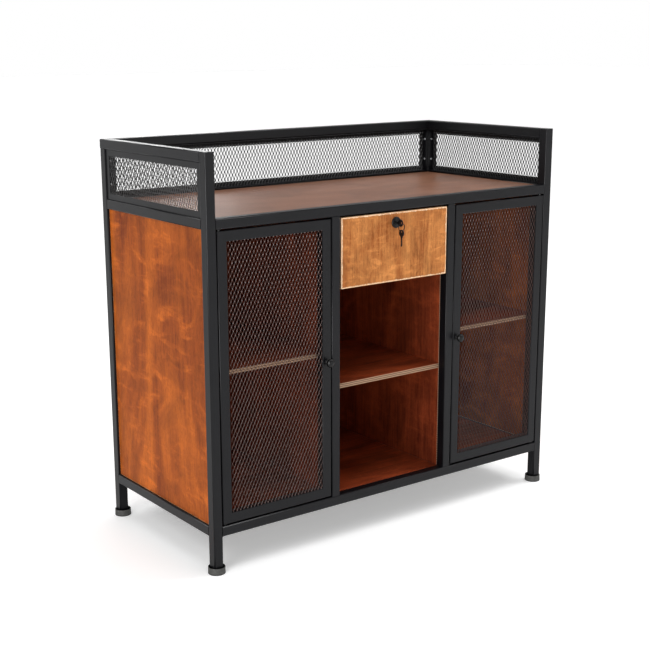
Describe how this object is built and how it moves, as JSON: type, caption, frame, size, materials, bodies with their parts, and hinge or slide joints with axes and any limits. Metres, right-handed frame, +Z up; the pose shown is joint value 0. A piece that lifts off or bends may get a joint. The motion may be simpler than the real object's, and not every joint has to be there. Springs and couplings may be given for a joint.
{
  "type": "sideboard buffet",
  "caption": "Industrial sideboard with a black steel tube frame, wooden panels, mesh doors, a lockable drawer over an open bay and a mesh gallery round the top.",
  "frame": {"origin": "on the floor, at the middle of the bounding box of the whole object with its feet and key", "axes": "+X runs along the width towards the right-hand door, +Y runs from the door side to the back, +Z is up"},
  "size_m": [1.115, 0.5384, 1],
  "materials": {
    "powder_coat": "satin black powder coat, fine orange-peel texture",
    "expanded_mesh": "satin black powder coat on raised expanded steel",
    "foot_rubber": "matt dark grey rubber, scuffed",
    "side_ply": "orange-brown stained plywood, satin lacquer, figured vertical grain",
    "inner_ply": "deep red-brown stained plywood, pale layered edges",
    "deck_ply": "brown stained plywood, fine lengthwise grain, satin lacquer",
    "drawer_wood": "honey-coloured wood, vertical grain, pale rubbed edges",
    "drawer_box_wood": "unstained plywood",
    "black_fitting": "semi-gloss black enamel",
    "black_key": "black-plated steel",
    "zinc_steel": "bright zinc plate"
  },
  "bodies": {
    "cabinet": {"post_front_left": "powder_coat", "post_front_right": "powder_coat", "post_back_left": "powder_coat", "post_back_right": "powder_coat", "foot_front_left": "foot_rubber", "foot_front_right": "foot_rubber", "foot_back_left": "foot_rubber", "foot_back_right": "foot_rubber", "bottom_rail_front": "powder_coat", "bottom_rail_back": "powder_coat", "bottom_rail_left": "powder_coat", "bottom_rail_right": "powder_coat", "deck_rail_front": "powder_coat", "deck_rail_back": "powder_coat", "deck_rail_left": "powder_coat", "deck_rail_right": "powder_coat", "mid_post_left": "powder_coat", "mid_post_right": "powder_coat", "gallery_rail": "powder_coat", "gallery_frame_left": "powder_coat", "gallery_frame_right": "powder_coat", "gallery_frame_back": "powder_coat", "gallery_mesh_left": "expanded_mesh", "gallery_mesh_right": "expanded_mesh", "gallery_mesh_back": "expanded_mesh", "side_panel_left": "side_ply", "side_panel_right": "side_ply", "back_panel": "inner_ply", "deck_board": "deck_ply", "bottom_board": "inner_ply", "partition_left": "inner_ply", "partition_right": "inner_ply", "shelf_left": "inner_ply", "shelf_centre": "inner_ply", "shelf_right": "inner_ply", "hinge_pin_top_left": "zinc_steel", "hinge_pin_bottom_left": "zinc_steel", "hinge_pin_top_right": "zinc_steel", "hinge_pin_bottom_right": "zinc_steel", "slide_channel_left": "zinc_steel", "slide_channel_right": "zinc_steel"},
    "door_left": {"door_frame_left": "powder_coat", "door_mesh_left": "expanded_mesh", "door_knob_left": "black_fitting"},
    "door_right": {"door_frame_right": "powder_coat", "door_mesh_right": "expanded_mesh", "door_knob_right": "black_fitting"},
    "drawer": {"drawer_front": "drawer_wood", "drawer_side_left": "drawer_box_wood", "drawer_side_right": "drawer_box_wood", "drawer_back": "drawer_box_wood", "drawer_bottom": "drawer_box_wood", "slide_runner_left": "zinc_steel", "slide_runner_right": "zinc_steel", "lock_housing": "black_fitting"},
    "lock_core": {"lock_plug": "black_fitting", "lock_cam": "zinc_steel", "lock_key": "black_key"},
    "ring": {"key_ring": "zinc_steel"},
    "hanging_key": {"spare_key": "black_key"}
  },
  "joints": [
    {"name": "left_door_hinge", "type": "hinge", "parent": "cabinet", "child": "door_left", "pos_m": [-0.5145, -0.23078, 0.472], "axis": [0, 0, 1], "range_deg": [-105, 0]},
    {"name": "right_door_hinge", "type": "hinge", "parent": "cabinet", "child": "door_right", "pos_m": [0.5145, -0.23078, 0.472], "axis": [0, 0, 1], "range_deg": [0, 105]},
    {"name": "drawer_travel", "type": "slide", "parent": "cabinet", "child": "drawer", "axis": [0, -1, 0], "range_m": [0, 0.3]},
    {"name": "lock_turn", "type": "hinge", "parent": "drawer", "child": "lock_core", "pos_m": [0, -0.23828, 0.796], "axis": [0, -1, 0], "range_deg": [0, 90]},
    {"name": "ring_swing", "type": "hinge", "parent": "lock_core", "child": "ring", "pos_m": [0, -0.26018, 0.7946], "axis": [-1, 0, 0], "range_deg": [-8, 60]},
    {"name": "spare_key_swing", "type": "hinge", "parent": "ring", "child": "hanging_key", "pos_m": [0, -0.26018, 0.7766], "axis": [-1, 0, 0], "range_deg": [-8, 45]}
  ]
}
